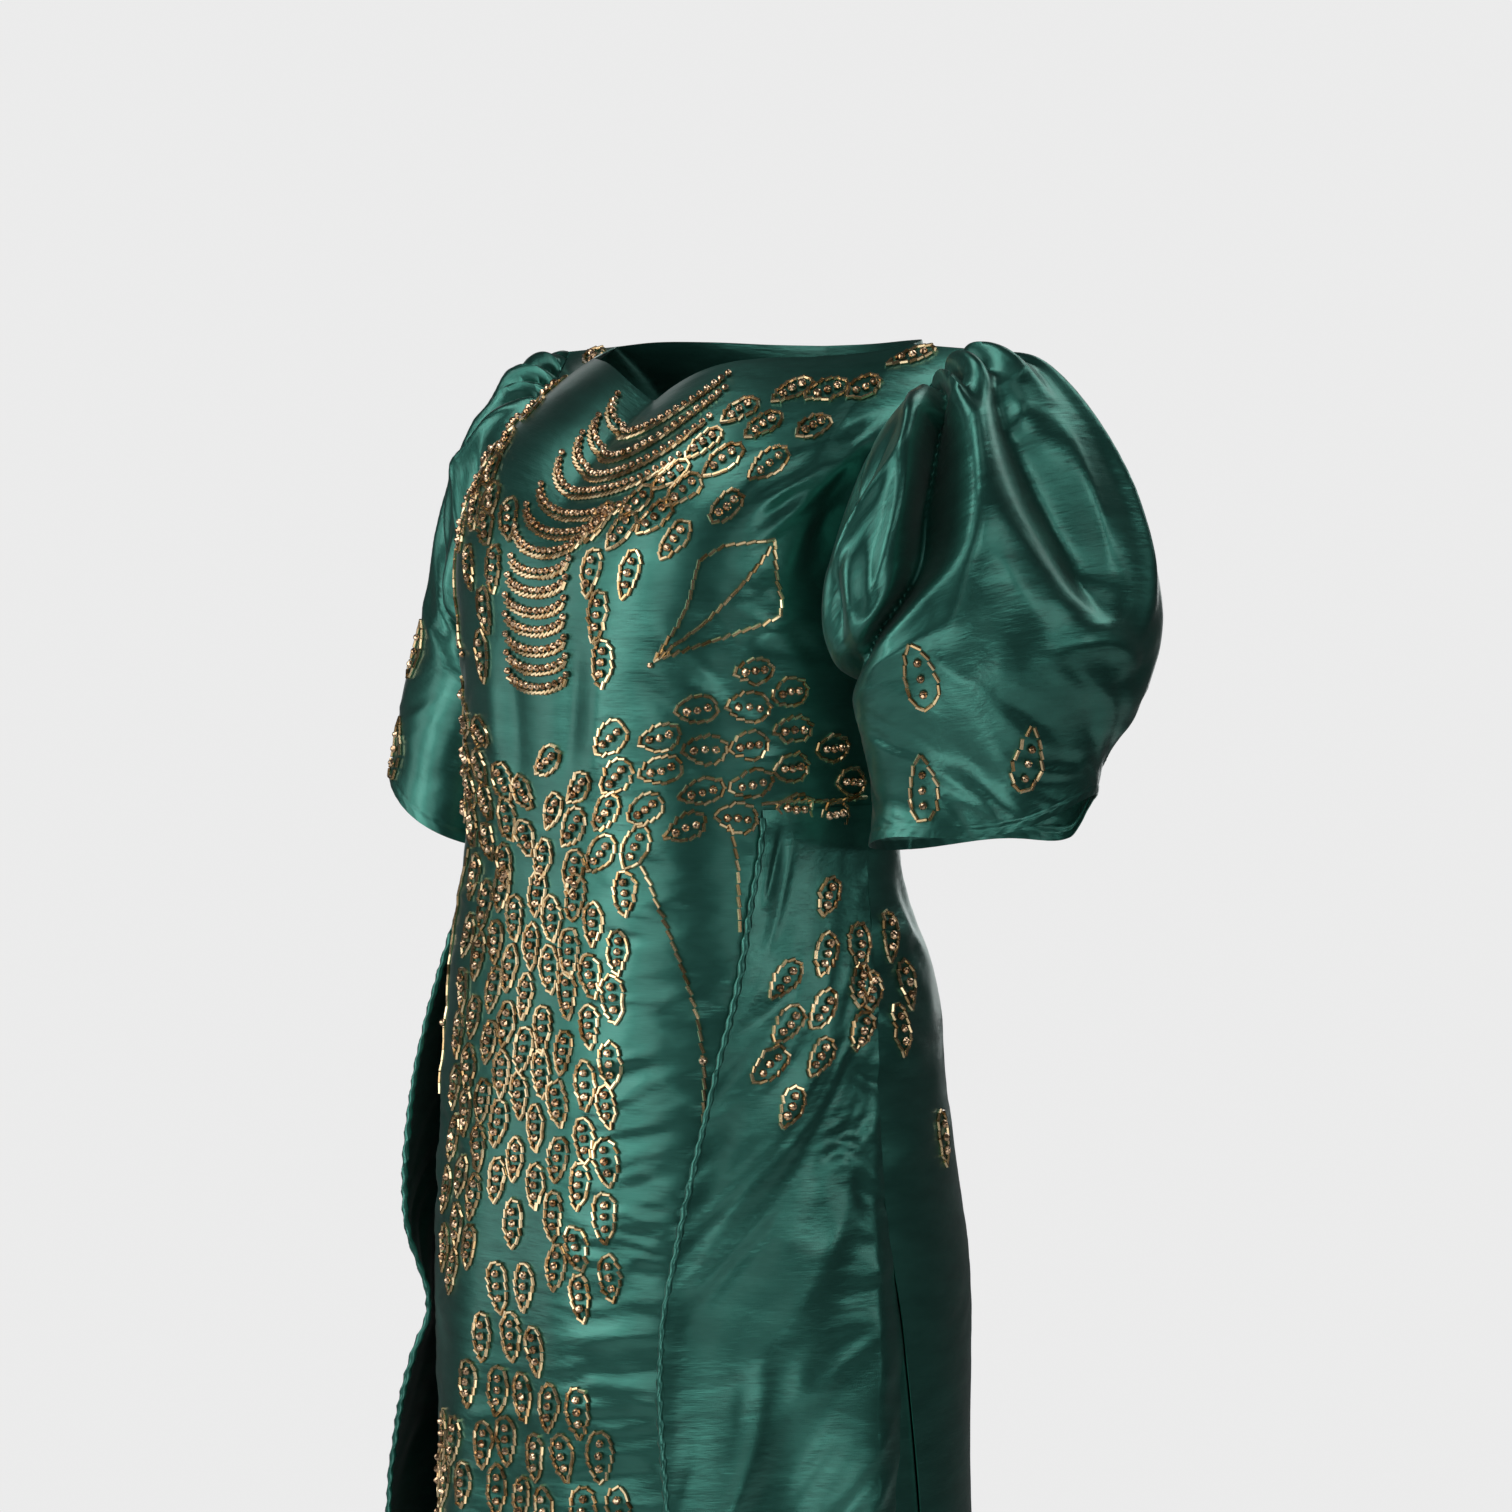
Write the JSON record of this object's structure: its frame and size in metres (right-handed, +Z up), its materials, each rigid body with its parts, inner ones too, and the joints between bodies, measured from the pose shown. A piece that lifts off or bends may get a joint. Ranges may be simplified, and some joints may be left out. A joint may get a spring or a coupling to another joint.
{
  "type": "satin gown",
  "caption": "Long satin gown, hollow as worn: sweetheart neckline, wide pleated puff sleeves to the elbow, straight front and overskirt panels parting over it, with beaded leaves.",
  "frame": {"origin": "the middle of the shoulder line, half way between the two shoulder points", "axes": "+Z up, the front of the gown faces -Y, the wearer's left is +X"},
  "size_m": [0.6337, 0.4188, 1.4035],
  "materials": {
    "satin": "dark green satin with a strong sheen",
    "bugles": "gold bugle beads, silver lined",
    "crystals": "copper crystals, faceted"
  },
  "bodies": {
    "root": {"front": "satin", "back_bodice": "satin", "back_skirt": "satin", "overskirt_left": "satin", "overskirt_right": "satin", "sleeve_left": "satin", "sleeve_right": "satin"}
  },
  "joints": []
}
